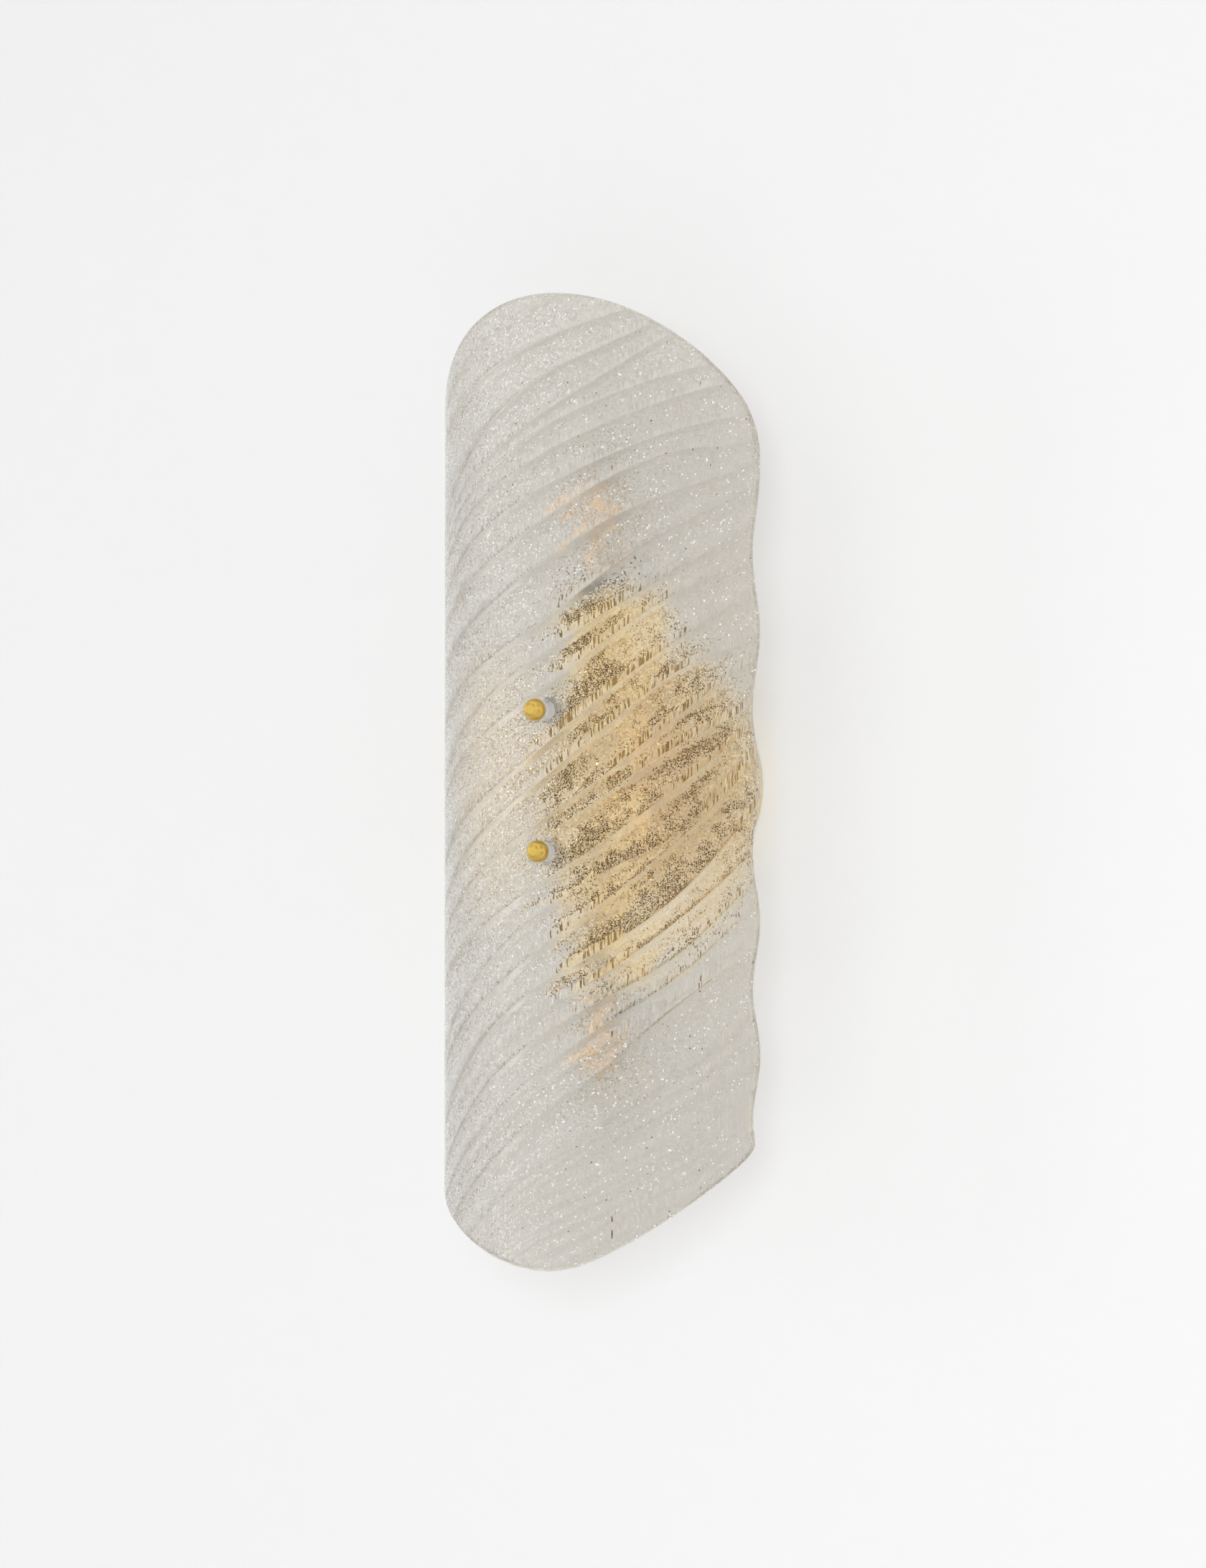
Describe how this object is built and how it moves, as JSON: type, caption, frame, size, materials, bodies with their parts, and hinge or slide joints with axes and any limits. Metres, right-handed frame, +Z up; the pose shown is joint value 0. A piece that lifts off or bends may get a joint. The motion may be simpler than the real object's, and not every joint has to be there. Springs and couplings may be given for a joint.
{
  "type": "wall sconce",
  "caption": "Wall sconce with a tall bent and ribbed glass shade held by ball finials in front of a lamp tube on a round backplate.",
  "frame": {"origin": "middle of the backplate's rear, on the wall", "axes": "+Y into the wall, +X to the right of someone facing the wall, +Z up; the light stands out towards -Y"},
  "size_m": [0.1696, 0.1312, 0.4573],
  "materials": {
    "frosted_glass": "frosted and granulated, translucent",
    "satin_brass": "satin, lacquered",
    "ball_brass": "polished, slightly brushed",
    "shell_brass": "bright, pressed sheet",
    "zinc_steel": "zinc plated",
    "green_screw": "green passivated",
    "clear_rubber": "clear silicone",
    "dark_phenolic": "moulded, dark brown",
    "solder": "dull solder",
    "black_glass": "glossy, opaque",
    "nickel_base": "nickel plated",
    "clear_glass": "clear and smooth",
    "nickel_wire": "drawn wire",
    "orange_phosphor": "phosphor coating",
    "black_lead": "insulation",
    "white_lead": "insulation",
    "green_lead": "insulation",
    "connector_plastic": "moulded"
  },
  "bodies": {
    "fixture": {"crossbar": "zinc_steel", "ground_screw": "green_screw", "backplate": "satin_brass", "stud_upper": "zinc_steel", "stud_lower": "zinc_steel", "stud_locknuts": "zinc_steel", "plate_nuts": "satin_brass", "inner_washers": "clear_rubber", "stop_washers": "zinc_steel", "stop_nuts": "zinc_steel", "lamp_tube": "satin_brass", "grub_screws": "zinc_steel", "stem": "zinc_steel", "stem_locknut": "zinc_steel", "stem_spacer": "satin_brass", "saddle_nut": "zinc_steel", "lampholder_upper": "dark_phenolic", "lampholder_lower": "dark_phenolic", "screw_shell_upper": "shell_brass", "screw_shell_lower": "shell_brass", "contact_upper": "shell_brass", "contact_lower": "shell_brass", "live_leads": "black_lead", "neutral_leads": "white_lead", "ground_lead": "green_lead", "wire_connectors": "connector_plastic", "shade": "frosted_glass"},
    "collar_upper": {"collar_upper": "clear_rubber"},
    "finial_upper": {"finial_upper": "ball_brass"},
    "collar_lower": {"collar_lower": "clear_rubber"},
    "finial_lower": {"finial_lower": "ball_brass"},
    "bulb_tip_upper": {"bulb_tip_upper": "solder"},
    "bulb_upper": {"bulb_insulator_upper": "black_glass", "bulb_base_upper": "nickel_base", "bulb_globe_upper": "clear_glass", "bulb_mount_upper": "clear_glass", "support_wires_upper": "nickel_wire", "filaments_upper": "orange_phosphor"},
    "bulb_tip_lower": {"bulb_tip_lower": "solder"},
    "bulb_lower": {"bulb_insulator_lower": "black_glass", "bulb_base_lower": "nickel_base", "bulb_globe_lower": "clear_glass", "bulb_mount_lower": "clear_glass", "support_wires_lower": "nickel_wire", "filaments_lower": "orange_phosphor"}
  },
  "joints": [
    {"name": "collar_upper_slide", "type": "slide", "parent": "fixture", "child": "collar_upper", "axis": [0, -1, 0], "range_m": [0, 0.0042]},
    {"name": "finial_upper_turn", "type": "hinge", "parent": "collar_upper", "child": "finial_upper", "pos_m": [0, -0.1265, 0.03295], "axis": [0, -1, 0], "range_deg": [0, 2160]},
    {"name": "collar_lower_slide", "type": "slide", "parent": "fixture", "child": "collar_lower", "axis": [0, -1, 0], "range_m": [0, 0.007]},
    {"name": "finial_lower_turn", "type": "hinge", "parent": "collar_lower", "child": "finial_lower", "pos_m": [0, -0.1234, -0.03295], "axis": [0, -1, 0], "range_deg": [0, 3600]},
    {"name": "bulb_upper_slide", "type": "slide", "parent": "fixture", "child": "bulb_tip_upper", "axis": [0, 0, 1], "range_m": [0, 0.00762]},
    {"name": "bulb_upper_turn", "type": "hinge", "parent": "bulb_tip_upper", "child": "bulb_upper", "pos_m": [0, -0.054, 0.09], "axis": [0, 0, 1], "range_deg": [0, 1080]},
    {"name": "bulb_lower_slide", "type": "slide", "parent": "fixture", "child": "bulb_tip_lower", "axis": [0, 0, -1], "range_m": [0, 0.00762]},
    {"name": "bulb_lower_turn", "type": "hinge", "parent": "bulb_tip_lower", "child": "bulb_lower", "pos_m": [0, -0.054, -0.09], "axis": [0, 0, -1], "range_deg": [0, 1080]}
  ],
  "couplings": [
    {"joint": "finial_upper_turn", "follows": "collar_upper_slide", "rad_per_m": 8975.9},
    {"joint": "finial_lower_turn", "follows": "collar_lower_slide", "rad_per_m": 8975.9},
    {"joint": "bulb_upper_slide", "follows": "bulb_upper_turn", "m_per_rad": 0.00040425},
    {"joint": "bulb_lower_slide", "follows": "bulb_lower_turn", "m_per_rad": 0.00040425}
  ]
}
